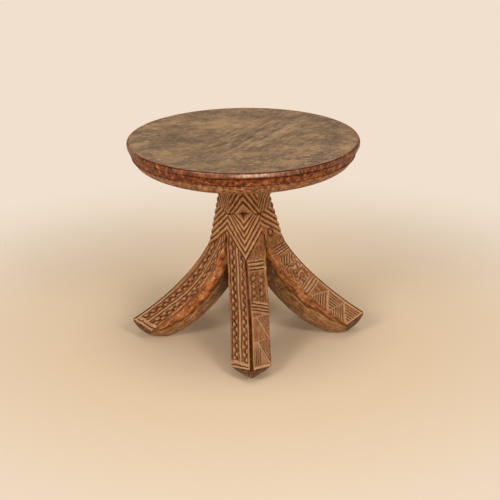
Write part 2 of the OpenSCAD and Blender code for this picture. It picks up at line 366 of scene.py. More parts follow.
def shades(tree, value, *stops):
    """A run of colours over a value from 0 to 1."""
    ramp = node(tree, "ValToRGB", {"Fac": value})
    while len(ramp.color_ramp.elements) < len(stops):
        ramp.color_ramp.elements.new(0.5)
    for element, (position, colour) in zip(ramp.color_ramp.elements, stops):
        element.position = position
        element.color = tint(*colour)
    return ramp.outputs[0]


def blend(tree, share, under, over):
    return node(tree, "MixRGB", {"Fac": share, "Color1": under, "Color2": over}).outputs[0]


def painted(tree, name):
    return node(tree, "Attribute", {}, attribute_name=name).outputs["Fac"]


seat_wood, tree, shader = new_finish("seat_wood")
sweep = grain(tree, 0.0058, (5, 1, 1), 60, 5, 0.72, 0.3)
scratch = blend(tree, 0.5, grain(tree, 0.0044, (1.5, 1, 1), 6, 5, 0.75, 0.2),
                grain(tree, 0.008, (1.1, 1, 1), 10, 5, 0.72, 0.4))
scrape = grain(tree, 0.005, (2.4, 1, 1), 24, 4, 0.7)
mottle = grain(tree, 0.026, (1.3, 1, 1), 20, 6, 0.66)
speck = grain(tree, 0.003, (1, 1, 1), 0, 3, 0.7)
upright = grain(tree, 0.0042, (1, 1, 2.4), 0, 4, 0.68, 0.6)
blot = grain(tree, 0.0052, (1, 1, 1.5), 0, 5, 0.7, 0.3)
dash = grain(tree, 0.0022, (1, 1, 3), 0, 3, 0.6)
worn_lines = blend(tree, painted(tree, "swept"), scratch, sweep)
worn_lines = blend(tree, 0.25, worn_lines, scrape)
top_paint = shades(tree, worn_lines, (0.39, (78, 58, 41)), (0.47, (116, 91, 67)),
                   (0.54, (144, 117, 88)), (0.62, (190, 160, 124)))
top_paint = blend(tree, spread(tree, mottle, 0.5, 0.62, 0, 0.72), top_paint, tint(155, 124, 92))
top_paint = blend(tree, spread(tree, mottle, 0.49, 0.38, 0, 0.68), top_paint, tint(106, 86, 68))
blotchy = maths(tree, "MULTIPLY", painted(tree, "dark"), spread(tree, worn_lines, 0.6, 0.42, 0.5, 1))
top_paint = blend(tree, maths(tree, "MULTIPLY", blotchy, 0.8), top_paint, tint(88, 70, 55))
patchy = maths(tree, "MULTIPLY", painted(tree, "pale"), spread(tree, worn_lines, 0.42, 0.56, 0.5, 1))
top_paint = blend(tree, maths(tree, "MULTIPLY", patchy, 0.8), top_paint, tint(178, 146, 107))
side_paint = shades(tree, upright, (0.36, (90, 50, 24)), (0.5, (136, 87, 51)), (0.64, (184, 136, 92)))
bevel_paint = shades(tree, blot, (0.38, (60, 20, 5)), (0.47, (102, 45, 14)), (0.56, (140, 72, 27)),
                     (0.68, (192, 122, 62)))
rim_paint = shades(tree, blot, (0.38, (68, 30, 12)), (0.5, (108, 57, 28)), (0.64, (146, 90, 52)))
rim_paint = blend(tree, spread(tree, dash, 0.56, 0.7, 0, 0.5), rim_paint, tint(166, 124, 96))
# The rim's painted highlight: paler paint on the rim's face at the front.
rim_paint = blend(tree, painted(tree, "painted_highlight"), rim_paint, shades(
    tree, dash, (0.36, (136, 94, 74)), (0.52, (182, 144, 122)), (0.66, (214, 184, 166))))
paint_now = blend(tree, painted(tree, "bevel"), side_paint, bevel_paint)
paint_now = blend(tree, painted(tree, "rim"), paint_now, rim_paint)
paint_now = blend(tree, painted(tree, "top"), paint_now, top_paint)
paint_now = blend(tree, maths(tree, "MULTIPLY", painted(tree, "cut"), 0.85), paint_now, tint(58, 20, 8))
paint_now = blend(tree, spread(tree, speck, 0.58, 0.76, 0, 0.4), paint_now, tint(74, 48, 30))
tree.links.new(paint_now, shader.inputs["Base Color"])
tree.links.new(spread(tree, painted(tree, "cut"), 0, 0.7, 0.35, 0.05),
               shader.inputs["Specular IOR Level"])
worn_rough = spread(tree, painted(tree, "rim"), 0, 1, 0.58, 0.3)
tree.links.new(spread(tree, painted(tree, "top"), 0, 1, worn_rough, 0.7), shader.inputs["Roughness"])
lumps = blend(tree, painted(tree, "top"), upright, worn_lines)
bump = node(tree, "Bump", {"Height": lumps, "Strength": 0.6, "Distance": 0.0009})
fine = node(tree, "Bump", {"Height": speck, "Strength": 0.25, "Distance": 0.0003,
                           "Normal": bump.outputs[0]})
tree.links.new(fine.outputs[0], shader.inputs["Normal"])
seat.data.materials.append(seat_wood)
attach(seat, "root")
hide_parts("seat")


# Neck: a square column with its corners towards the legs, narrowest at its waist. The front and
# rear corners have a lozenge with a sunk star and chevron ribs above and below it, the side
# corners ribs alone. It is red-brown wood, dark in the cuts and pale on the ribs.
neck_low, neck_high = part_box("neck")
crotch_z = neck_low.z / mm
neck_top_z = neck_high.z / mm
leg_w = 53
# About how wide a leg's slope is
slope_w = 36
neck_shift = seat_x / mm
neck_turn = -4
lean_from = 0.7 * crotch_z
turn_from, turn_over = 0.4 * crotch_z, 0.7 * crotch_z
bearings = {"right": 0, "rear": 90, "left": 180, "front": 270}
# Radius of the neck's corners and of its faces, each at the foot and at the waist, and how far
# its top flares out, over what height
corner_foot, corner_waist = 49.6, 36
face_foot, face_waist = leg_w * np.sqrt(0.5), 27
flare_r, flare_h = 5, 20
# The lozenge's middle, how far its line droops towards a face's middle, half the star's height
# in mm, and half its width as a share of a face's half
lozenge_z = 190.5
lozenge_droop = 6.5
star_h, star_w = 9.6, 0.47
starred = ("front", "rear")
# Ribs: how far apart they are, how many there are, and how far they rise from the corner to the
# face's middle. On starred corners the rise grows from rib to rib.
rib_pitch = {"right": 8.6, "rear": 9.1, "left": 9.2, "front": 9.1}
rib_count = {"right": 5.3, "rear": 6.9, "left": 6.75, "front": 6.9}
rib_rise = {"right": 29, "left": 37}
first_rise, rise_step = 20, 7
rise_above, rise_below = 26, 38.5
# Bands: the side of the ridge that has them, their waves' length and swing and half their width
# in mm, and the straight cuts' middles, half widths (as shares of the slope) and depths
band_sides = {"right": 1, "rear": -1, "left": 1, "front": -1}
wave_long, wave_swing, wave_half = 11.7, 2.0, 4.3
straight_cuts = ((0.165, 0.026, 1.0), (0.472, 0.03, 1.3), (0.615, 0.03, 1.3), (0.905, 0.03, 1.2))
# Where the middles of the two bands lie across a slope, at some places down the leg
band_spots = (0, 20, 48, 70, 100, 130, 169)
near_bands = {"left": (0.40, 0.43, 0.49, 0.47, 0.42, 0.35, 0.30)}
far_bands = {"left": (0.80, 0.82, 0.86, 0.92, 0.90, 0.78, 0.76)}
plain_near = (0.19, 0.20, 0.22, 0.24, 0.26, 0.29, 0.30)
plain_far = (0.69, 0.69, 0.71, 0.73, 0.75, 0.77, 0.77)


def mix(a, b, t):
    return a + (b - a) * t


def leaning(p, bearing):
    """Places out, across and up in mm at a leg's bearing, in the leaning and turning wood."""
    a = np.radians(bearing + neck_turn * unit((p[..., 2] - turn_from) / turn_over))
    lean = neck_shift * unit((p[..., 2] - lean_from) / (neck_top_z - lean_from))
    return np.stack([p[..., 0] * np.cos(a) - p[..., 1] * np.sin(a) + lean,
                     p[..., 0] * np.sin(a) + p[..., 1] * np.cos(a), p[..., 2]], -1)


def furrow(x, half):
    """1 along a cut's middle, where x is 0, and 0 at its lips."""
    return np.clip(1 - (x / half) ** 2, 0, 1)


def near_whole(x):
    """Distance to the nearest whole number."""
    return np.abs(x - np.round(x))


def chevrons(h, u, pitch, last_rise):
    """How many ribs lie between the middle of the lozenge and a place h mm above or below it.
    Each rises more than the one before, up to last_rise. u runs 0 to 1 from corner to face."""
    last = 1 + (last_rise - first_rise) / rise_step
    inner, outer = (h + first_rise * u) / pitch, (h + last_rise * u) / pitch
    between = (h + (first_rise - rise_step) * u) / (pitch - rise_step * u)
    return np.where(inner < 1, inner, np.where(between < last, between, outer))


def carved_ribs(z, u, corner):
    """Depth, darkness and wear of the ribs and the star, and where they leave off."""
    pitch = rib_pitch[corner]
    up = z - lozenge_z + lozenge_droop * u**1.5
    h = np.abs(up)
    if corner in starred:
        ribs = np.where(up > 0, chevrons(h, u, 1.1 * pitch, rise_above),
                        chevrons(h, u, pitch, rise_below))
        side = 2 * near_whole(ribs - 0.15)
    else:
        ribs = (h + rib_rise[corner] * u) / (pitch - 0.4 * u)
        side = 2 * near_whole(ribs)
    side = np.maximum(side, furrow(up, 1.1) * unit((u - 0.62) / 0.1))
    depth = 2.0 * side**2.4
    dark = unit((side - 0.52) / 0.42)
    pale = unit((0.5 - side) / 0.45)
    if corner in starred:
        star = 1 - (h / star_h) ** 0.62 - (u / star_w) ** 0.62
        in_star = unit(star / 0.1)
        in_frame = unit((0.97 - ribs) / 0.07)
        dish = 0.5 + 1.4 * unit((0.97 - ribs) / 0.5)
        low = 0.72 + 0.28 * np.sign(lozenge_z + 1 - z)
        depth = mix(depth, dish + 3.0 * np.clip(1.5 * star, 0, 1), in_frame)
        dark = mix(dark, 0.12 + 0.85 * low * in_star * np.clip(0.25 + 1.8 * star, 0, 1), in_frame)
        pale = mix(pale, 0.3 * (1 - in_star), in_frame)
    inside = unit((rib_count[corner] - ribs) / 0.12)
    return depth, dark, pale, inside


def bands(v, s, corner):
    """Two wavy cuts between straight ones, with chips in their bends. s runs down the leg in mm,
    and v 0 to 1 from the groove to the side edge, stretched to bring the bands to their places."""
    near = np.interp(s, band_spots, near_bands.get(corner, plain_near))
    far = np.interp(s, band_spots, far_bands.get(corner, plain_far))
    v = np.where(v < near, 0.3 * v / near, np.where(
        v < far, 0.3 + 0.47 * (v - near) / (far - near), 0.77 + 0.23 * (v - far) / (1 - far)))
    depth, dark, pale = np.zeros_like(v), np.zeros_like(v), np.zeros_like(v)
    bold = np.interp(s, (-12, 20, 50), (0.45, 0.7, 1))
    for middle, phase in ((0.3, 0.1), (0.77, 0.45)):
        x = (v - middle) * slope_w
        swing = np.sin(tau * (s / wave_long + phase))
        off = np.abs(x - wave_swing * bold * swing) * 0.72
        inside = unit((wave_half - np.abs(x)) / 0.7)
        cut = furrow(off, 0.95 + 0.45 * np.abs(swing)) * inside
        in_bend = unit((-np.sign(x) * swing - 0.1) * 1.6)
        chip = in_bend * np.exp(-(((np.abs(x) - 2.5) / 1.2) ** 2)) * inside
        depth = np.maximum(depth, 1.8 * cut + 0.45 * inside * (1 - chip))
        dark = np.maximum(dark, np.maximum(cut, 0.22 * inside * (1 - chip)))
        pale = np.maximum(pale, chip)
    for middle, half, deep in straight_cuts:
        cut = furrow(v - middle, half)
        depth = np.maximum(depth, deep * cut)
        dark = np.maximum(dark, cut)
    pale = np.maximum(pale, 0.85 * furrow(v - 0.545, 0.045))
    field = unit((159.5 - s) / 0.8)
    ends = furrow(s - 165.2, 1.3) * unit((v - 0.08) / 0.03)
    depth, dark, pale = depth * field, dark * field, pale * field
    depth = np.maximum(depth, 1.2 * ends)
    dark = np.maximum(dark, ends)
    pale = np.maximum(pale, 0.8 * (1 - field) * unit((v - 0.08) / 0.03))
    return depth, dark, pale * (1 - dark)


def stipple(x, s):
    """Rows of small pricks, as a darkness."""
    dots = np.hypot(near_whole(x / 3.0 + 0.5 * np.round(s / 2.7)) * 3.0, near_whole(s / 2.7) * 2.7)
    return 0.08 + 0.5 * unit((1.2 - dots) / 0.5)


def lay_grain(piece, along, across, deep):
    """Stores where each vertex lies along and across the grain, in metres."""
    layer = piece.data.attributes.new("lay", "FLOAT_VECTOR", "POINT")
    where = np.stack([along, across, deep], -1) * mm
    layer.data.foreach_set("vector", where.astype(np.float32).ravel())


# The neck is a grid rolled up round its axis, with a pole at each end. turn_at counts the
# eighths of its turn, each of them from a corner to the middle of a face or back.
neck_across, neck_up = 352, 150
bpy.ops.object.select_all(action="DESELECT")
bpy.ops.mesh.primitive_grid_add(x_subdivisions=neck_across, y_subdivisions=neck_up, size=1)
neck = bpy.context.object
neck.name = "neck_column"
sheet = spots_of(neck) + 0.5
turn_at = sheet[:, 0] * 8
row_at = np.round(sheet[:, 1] * neck_up).astype(int)
height = np.clip((row_at - 1) / (neck_up - 2), 0, 1)
z = mix(crotch_z, neck_top_z, height)
octant = np.minimum(turn_at.astype(int), 7)
even = octant % 2 == 0
u = np.where(even, turn_at - octant, octant + 1 - turn_at)
corner_turn = np.radians(45.0 * np.where(even, octant, octant + 1))
face_turn = np.radians(45.0 * np.where(even, octant + 1, octant))
waist = np.minimum(1, (z - crotch_z) / (neck_top_z - crotch_z - flare_h))
flare = flare_r * np.maximum(0, (z - neck_top_z + flare_h) / flare_h) ** 2
corner_r = mix(corner_foot, corner_waist, waist) + flare
face_r = mix(face_foot, face_waist, waist) + flare
column = np.stack([
    mix(corner_r * np.cos(corner_turn), face_r * np.cos(face_turn), u),
    mix(corner_r * np.sin(corner_turn), face_r * np.sin(face_turn), u), z], -1)
depth, dark, pale = np.zeros(len(z)), np.zeros(len(z)), np.zeros(len(z))
by_hand = waver(column, 9, 12) * unit((z - crotch_z) / 8)
# The legs' patterns run up on to the neck, where s is below 0. d, k and p are the depth, the
# darkness and the wear of the ribs (0), the bands (1) and the other pattern (2).
s = (crotch_z - z) * 1.05
for corner, bearing in bearings.items():
    here = (np.round(np.degrees(corner_turn)) % 360) == bearing
    banded = np.where(even, 1, -1) == band_sides[corner]
    d0, k0, p0, inside = carved_ribs(z + 0.8 * by_hand, u, corner)
    d1, k1, p1 = bands(u, s, corner)
    k2 = stipple(slope_w * u, s)
    depth = np.where(here, mix(np.where(banded, d1, 0.8 * k2), d0, inside), depth)
    dark = np.where(here, mix(np.where(banded, k1, k2), k0, inside), dark)
    pale = np.where(here, mix(np.where(banded, p1, 0), p0, inside), pale)
# A knot on the right face, and the cracks that run up the faces from where the legs part.
from_knot = np.hypot((z - 157) / 5.5, (turn_at - 7.42) / 0.16)
knot = np.exp(-(((from_knot - 0.85) / 0.3) ** 2))
cracks = (furrow(turn_at - 7.04, 0.05) * unit((161 - z) / 6)
          + furrow(turn_at - 4.97, 0.07) * unit((158 - z) / 8))
bare = 1 - unit((1.15 - from_knot) / 0.2)
depth = depth * bare + 2.2 * cracks + 1.2 * knot
depth = depth + 0.45 * (0.5 + waver(column, 7, 11))
out_dir = column * [1, 1, 0] / np.hypot(column[:, 0], column[:, 1])[:, None]
ribbed = column - out_dir * np.maximum(depth, 0)[:, None]
ribbed[row_at == 0] = (0, 0, crotch_z)
ribbed[row_at == neck_up] = (0, 0, neck_top_z)
move_to(neck, leaning(ribbed, 0) * mm)
# A painted shadow of the seat: the neck's top is painted darker and loses its pale crests.
seat_shadow = unit((z - neck_top_z + 7) / 7)
paint(neck, "cut", np.clip(dark * bare + 0.95 * knot + cracks + 0.5 * seat_shadow, 0, 1))
paint(neck, "worn", pale * bare * (1 - 0.8 * seat_shadow) * (0.75 + 0.6 * waver(column, 14, 13)))
for name in ("belly", "flank", "painted_sheen", "toe", "low"):
    paint(neck, name, 0 * z)
# Painted shade under the seat, and low down in the faces' middles where the legs part.
paint(neck, "painted_shade", 0.35 * seat_shadow + 0.3 * unit((155 - z) / 10) * unit((u - 0.7) / 0.3))
lay_grain(neck, column[:, 2], column[:, 0], column[:, 1])


def close_up(piece):
    """Welds a rolled-up grid along its seam and at its poles."""
    bpy.ops.object.mode_set(mode="EDIT")
    bpy.ops.mesh.select_all(action="SELECT")
    bpy.ops.mesh.remove_doubles(threshold=weld_within)
    bpy.ops.mesh.delete_loose()
    bpy.ops.mesh.select_all(action="SELECT")
    bpy.ops.mesh.normals_make_consistent(inside=False)
    bpy.ops.object.mode_set(mode="OBJECT")
    bpy.ops.object.shade_smooth_by_angle(angle=radians(50))


close_up(neck)


def carved_wood(name, dull, body, bright):
    """Red-brown carved wood: grain that follows the piece, dark cuts, pale worn crests, an
    orange flank with dark streaks, and a darker belly."""
    material, tree, shader = new_finish(name)
    lay = node(tree, "Attribute", {}, attribute_name="lay").outputs["Vector"]

    def along_grain(size, stretch, detail):
        laid = node(tree, "Mapping", {"Vector": lay, "Scale": (stretch, 1, 1)}, vector_type="TEXTURE")
        return node(tree, "TexNoise", {"Vector": laid.outputs[0], "Scale": 1 / size,
                                       "Detail": detail, "Roughness": 0.62}).outputs[0]

    fibre = along_grain(0.0028, 4.5, 4)
    streak = along_grain(0.0046, 2.8, 5)
    cloud = grain(tree, 0.018, (1, 1, 1.4), 0, 4, 0.55)
    mottle = grain(tree, 0.0052, (1, 1, 1), 0, 4, 0.66)
    speck = grain(tree, 0.0022, (1, 1, 1), 0, 3, 0.7)
    dust = grain(tree, 0.0026, (1, 1, 1), 40, 3, 0.7)
    paint_now = shades(tree, fibre, (0.33, dull), (0.5, body), (0.67, bright))
    paint_now = blend(tree, spread(tree, mottle, 0.42, 0.64, 0, 0.55), paint_now, tint(132, 74, 36))
    paint_now = blend(tree, spread(tree, cloud, 0.47, 0.68, 0, 0.6), paint_now, tint(146, 78, 40))
    worked = blend(tree, 0.38, streak, mottle)
    flank = shades(tree, worked, (0.38, (82, 36, 10)), (0.46, (136, 74, 32)), (0.54, (182, 114, 60)),
                   (0.63, (208, 150, 96)))
    paint_now = blend(tree, painted(tree, "flank"), paint_now, flank)
    # A painted sheen: a grey strip just under the side edge of the left and rear legs.
    sheen = blend(tree, streak, tint(62, 34, 22), tint(126, 86, 68))
    paint_now = blend(tree, painted(tree, "painted_sheen"), paint_now, sheen)
    under_neck = shades(tree, worked, (0.4, (50, 26, 10)), (0.5, (88, 54, 28)), (0.62, (130, 88, 54)))
    under_toe = shades(tree, worked, (0.4, (112, 64, 30)), (0.5, (156, 110, 66)), (0.62, (194, 150, 104)))
    under = blend(tree, painted(tree, "low"), under_neck, under_toe)
    paint_now = blend(tree, painted(tree, "belly"), paint_now, under)
    crest = maths(tree, "MULTIPLY", painted(tree, "worn"), spread(tree, mottle, 0.32, 0.62, 1.0, 0.45))
    crests = shades(tree, mottle, (0.35, (184, 142, 102)), (0.6, (214, 176, 134)))
    paint_now = blend(tree, crest, paint_now, crests)
    toe_end = shades(tree, mottle, (0.4, (50, 24, 6)), (0.5, (88, 52, 24)), (0.6, (138, 92, 54)))
    paint_now = blend(tree, painted(tree, "toe"), paint_now, toe_end)
    cuts = shades(tree, mottle, (0.35, (44, 18, 1)), (0.65, (92, 48, 12)))
    paint_now = blend(tree, painted(tree, "cut"), paint_now, cuts)
    # Painted shade: darker in the corners between the legs, on the bellies near the root and under the
    # seat.
    paint_now = blend(tree, painted(tree, "painted_shade"), paint_now, tint(38, 18, 4))
    paint_now = blend(tree, spread(tree, speck, 0.56, 0.74, 0, 0.5), paint_now, tint(70, 34, 12))
    paint_now = blend(tree, spread(tree, dust, 0.58, 0.76, 0, 0.5), paint_now, tint(204, 158, 116))
    tree.links.new(paint_now, shader.inputs["Base Color"])
    tree.links.new(spread(tree, painted(tree, "cut"), 0, 0.7, 0.35, 0.08),
                   shader.inputs["Specular IOR Level"])
    tree.links.new(spread(tree, fibre, 0.3, 0.7, 0.6, 0.44), shader.inputs["Roughness"])
    bump = node(tree, "Bump", {"Height": worked, "Strength": 0.6, "Distance": 0.0009})
    fine = node(tree, "Bump", {"Height": speck, "Strength": 0.5, "Distance": 0.0005,
                               "Normal": bump.outputs[0]})
    tree.links.new(fine.outputs[0], shader.inputs["Normal"])
    return material


neck.data.materials.append(carved_wood("neck_wood", (104, 56, 22), (160, 104, 56), (200, 142, 88)))
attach(neck, "root")
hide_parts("neck")


# Legs: four splayed legs with pointed toes. A dark groove runs down each ridge, with wavy
# bands on the slope to one side and hatched panels on the other. The flanks are plain and
# orange, the bellies darker, and the toes are cut off at a slant.
toe_heights = {"front": 22, "right": 30, "rear": 27, "left": 27}
sole_reach = {"front": 139.5, "right": 135, "rear": 135, "left": 135}
# Where the ridge and the side edge end, and how they bend: angle and handle share at both ends
ridge_end_r, edge_end_r, edge_drop = 161, 134, 7
high_bend, low_bend = (70, 0.19, 34, 0.37), (72, 0.19, 33, 0.42)
ridge_bend = {"front": high_bend, "right": high_bend, "rear": low_bend, "left": low_bend}
edge_bend = (62, 0.275, 35, 0.43)
# The hollow under the stool: its height and reach, the worn soles, and where the toes lift off
arch_h, arch_r, wear, lift_r, toe_lift = 113, 124, 0.8, 116, 2
# Half width and depth of the groove, the slopes' swell, and the handles of the toe's front edge
# as shares of the way out and up from the keel to the groove
groove_half, groove_d, slope_swell = 2.2, 3, 0.8
toe_handles = ((0.42, 0.17), (0.82, 0.52))
# How far down the leg each tenth of the rows lies, and how far the grain runs on over the toe
s_table = (0, 12, 26, 41, 57, 74, 92, 111, 130, 149, 169)
toe_long = 14
# How far below the side edge the belly begins, at some places down the leg
crease_spots = (0, 45, 78, 113, 151, 169)
high_crease, low_crease = (13, 14.2, 15.4, 12.4, 7.3, 5), (15, 19, 20, 20, 14, 9)
creases = {"front": high_crease, "right": high_crease, "rear": low_crease, "left": low_crease}
half_w = leg_w / 2
belly_cols, slope_cols, leg_rows, toe_rows = 26, 84, 340, 16
leg_cols = 2 * (belly_cols + slope_cols)
all_rows = 1 + leg_rows + toe_rows


def s_of(t):
    """How far down the leg in mm a share t of its rows lies."""
    return np.interp(t, np.linspace(0, 1, len(s_table)), s_table)


def falling(p0, p1, bend, t):
    """A falling curve from p0 to p1. bend holds its angles and handle shares at both ends."""
    p0, p1 = np.array(p0, float), np.array(p1, float)
    d = np.linalg.norm(p1 - p0)
    a, b = radians(bend[0]), radians(bend[2])
    h0 = p0 + bend[1] * d * np.array([cos(a), -sin(a)])
    h1 = p1 - bend[3] * d * np.array([cos(b), -sin(b)])
    return bezier(p0, h0, h1, p1, t[..., None])


def leg_skin(t, w, v, sign, corner):
    """Smooth leg: w runs 0 to 1 up the belly to the side edge, v 1 to 0 from there to the groove."""
    top, sole = toe_heights[corner], sole_reach[corner]
    ridge = falling((corner_foot, crotch_z), (ridge_end_r, top), ridge_bend[corner], t)
    edge = falling((half_w, crotch_z), (edge_end_r, top - edge_drop), edge_bend, t)
    keel_r = sole * t * t
    arch = arch_h * np.maximum(0, 1 - keel_r / arch_r) ** 1.8
    keel = np.stack([keel_r, arch - wear + toe_lift * unit((keel_r - lift_r) / (sole - lift_r))], -1)
    near = ((1 - t) ** 4)[..., None]
    groin_high = np.array([0.47 * leg_w, mix(arch_h, crotch_z, 0.28)])
    groin_low = np.array([0.23 * leg_w, arch_h - 1.0])
    h1 = mix(mix(edge, keel, 0.7), groin_high, near)
    h2 = mix(mix(edge, keel, 1.02), groin_low, near)
    b1 = np.minimum(h1[..., 0], half_w * mix(1.03, 0.5, t**4))
    b2 = np.minimum(h2[..., 0], half_w * mix(0.55, 0.05, t))
    flank_rz = bezier(keel, h2, h1, edge, w[..., None])
    flank_b = bezier(0, b2, b1, half_w, w)
    lip = mix(groove_half / 3, groove_half, t) / half_w
    down = groove_d * np.minimum(1, 4 * t)
    swell = slope_swell * t * 4 * v * (1 - v)
    sunk = np.clip(1 - v / lip, 0, 1)
    slope_r = mix(ridge[..., 0], edge[..., 0], v) + swell - sunk * down / 2
    slope_z = mix(ridge[..., 1], edge[..., 1], v) + swell - sunk * down
    on_belly = w < 1
    r = np.where(on_belly, flank_rz[..., 0], slope_r)
    z = np.where(on_belly, np.maximum(0, flank_rz[..., 1]), slope_z)
    b = sign * np.where(on_belly, flank_b, v * half_w)
    return np.stack([r, b, z], -1)


def panels(v, s, t, corner, rough, fleck):
    """Cross lines, a lattice and hatched triangles, for the slope without wavy bands. The right
    leg has finer lines at its root and a stippled field where the others have the lattice."""
    depth, dark, pale = np.zeros_like(v), np.zeros_like(v), np.zeros_like(v)
    finer = corner == "right"

    def cut(mask, deep, shade):
        nonlocal depth, dark
        depth = np.maximum(depth, deep * mask)
        dark = np.maximum(dark, shade * mask)

    def between(low, high, soft=1.0):
        return unit((s - low) / soft) * unit((high - s) / soft)

    x = v * slope_w
    width = unit((v - 0.09) / 0.03) * unit((0.88 - v) / 0.03)
    strip = unit((v - 0.09) / 0.03) * unit((0.97 - v) / 0.02)
    cut(between(-9, 17) * unit((0.97 - v) / 0.02), 0, stipple(x, s))
    if finer:
        # Fine cross lines at the root, a comb of slanting lines, and the stippled field
        lines = (s - 22.3 - 1.3 * v) / 4
        root = between(7, 23.6) * unit((0.84 - v) / 0.03)
        cut(furrow(near_whole(lines + 0.5), 0.26) * root, 0.9, 0.85)
        pale = np.maximum(pale, furrow(near_whole(lines), 0.3) * root)
        comb = (x - s + 14) * 0.7
        cut(furrow(near_whole(comb / 4.2), 0.28) * between(27, 39) * width, 1.1, 0.95)
        pale = np.maximum(pale, furrow(near_whole(comb / 4.2 + 0.5), 0.24) * between(27, 39) * width)
        field = between(38, 72 + 8 * (v - 0.1)) * strip
        cut(field * unit((-fleck - 0.06) / 0.14), 0.8, 0.6)
        pale = np.maximum(pale, 0.7 * field * unit((fleck - 0.1) / 0.12))
    else:
        # Three cross lines, and a lattice of two strings of ovals beside a pale strip
        for at in (20.6, 26.0, 30.8):
            cut(furrow(s - at, 1.3) * width, 1.3, 1.0)
        pale = np.maximum(pale, 0.7 * width * between(17, 34, 1.5))
        field = width * between(36, 74)
        cut(field, 0.3, 0.3)
        for middle, first_at in ((11.2, 42), (24.6, 45.5)):
            wide = 4.6 * np.abs(np.cos(pi * (s - first_at) / 9.6)) + 1.6 * fleck
            off = np.abs(x - middle)
            cut(furrow(off - wide, 1.35) * field, 1.1, 1.0)
            pale = np.maximum(pale, field * unit((wide - 1.3 - off) / 0.9) * unit(0.75 + 2 * fleck))
        cut(furrow(near_whole((x + 0.7 * s) / 9.2), 0.1) * furrow(x - 18, 5) * field, 0.8, 0.8)
        pale = np.maximum(pale, 0.7 * furrow(v - 0.915, 0.03) * between(12, 74))
    # Three slanting lines, and below them two fields that a pale diagonal parts in triangles
    slant = 12.5 if finer else 10.6
    tilt = s - slant * (v - 0.12)
    for at in (73.9, 79.2, 84.5) if finer else (74.9, 79.2, 83.4):
        cut(furrow(tilt - at, 1.3) * strip, 1.0, 0.65 if finer else 0.95)
    pale = np.maximum(pale, 0.85 * strip * unit((tilt - 70.5) / 1.5) * unit((88.5 - tilt) / 1.5))
    first, second, last = (0.7 - 0.055 * v, 0.849 - 0.02 * v, 0.988) if finer else (0.618, 0.8, 0.98)
    left_at, lean_by = (0.21, 0.75) if finer else (0.32, 0.62)
    for number, start, end in ((1, first, second), (2, second, last)):
        share = (t - start) / (end - start)
        inside = unit(share / 0.03) * unit((1 - share) / 0.03) * unit((v - 0.12) / 0.03)
        inside = inside * unit((0.97 - v) / 0.02)
        off = (v - left_at - lean_by * share) * slope_w * 0.65
        outer, inner = unit((off - 0.9) / 0.5), unit((-off - 0.9) / 0.5)
        strokes = furrow(near_whole(off / 2.35), 0.28) * outer
        cut(strokes * inside, 0.9, 0.95 if finer else 0.8)
        pale = np.maximum(pale, 0.55 * outer * inside)
        if finer:
            cut(furrow(near_whole(x / 4.1), 0.28) * inner * inside, 1.1, 1.0)
            pale = np.maximum(pale, 0.6 * inner * inside)
        elif number == 1:
            cut(furrow(near_whole((x + 0.2 * s) / 3.4), 0.2) * inner * inside, 0.4, 0.35)
            pale = np.maximum(pale, 0.25 * inner * inside)
        else:
            cut(furrow(near_whole((x + 0.7 * s) / 3.0), 0.2) * outer * inside, 0.5, 0.5)
            few = unit((share - 0.2) / 0.15) * unit((0.52 - v) / 0.04)
            cut(furrow(near_whole((x + 1) / 3.5), 0.3) * inner * inside * few, 1.2, 1.0)
            pale = np.maximum(pale, 0.45 * inner * inside)
        pale = np.maximum(pale, inside * furrow(off, 1.1))
        pale = np.maximum(pale, furrow(s - s_of(start), 1.3) * strip)
    pale = np.maximum(pale, unit((s - s_of(last)) / 0.8) * strip)
    dark = np.maximum(dark, (0.2 + 0.3 * rough) * (1 - pale) * unit((v - 0.1) / 0.05))
    return depth, dark, pale * (1 - dark)


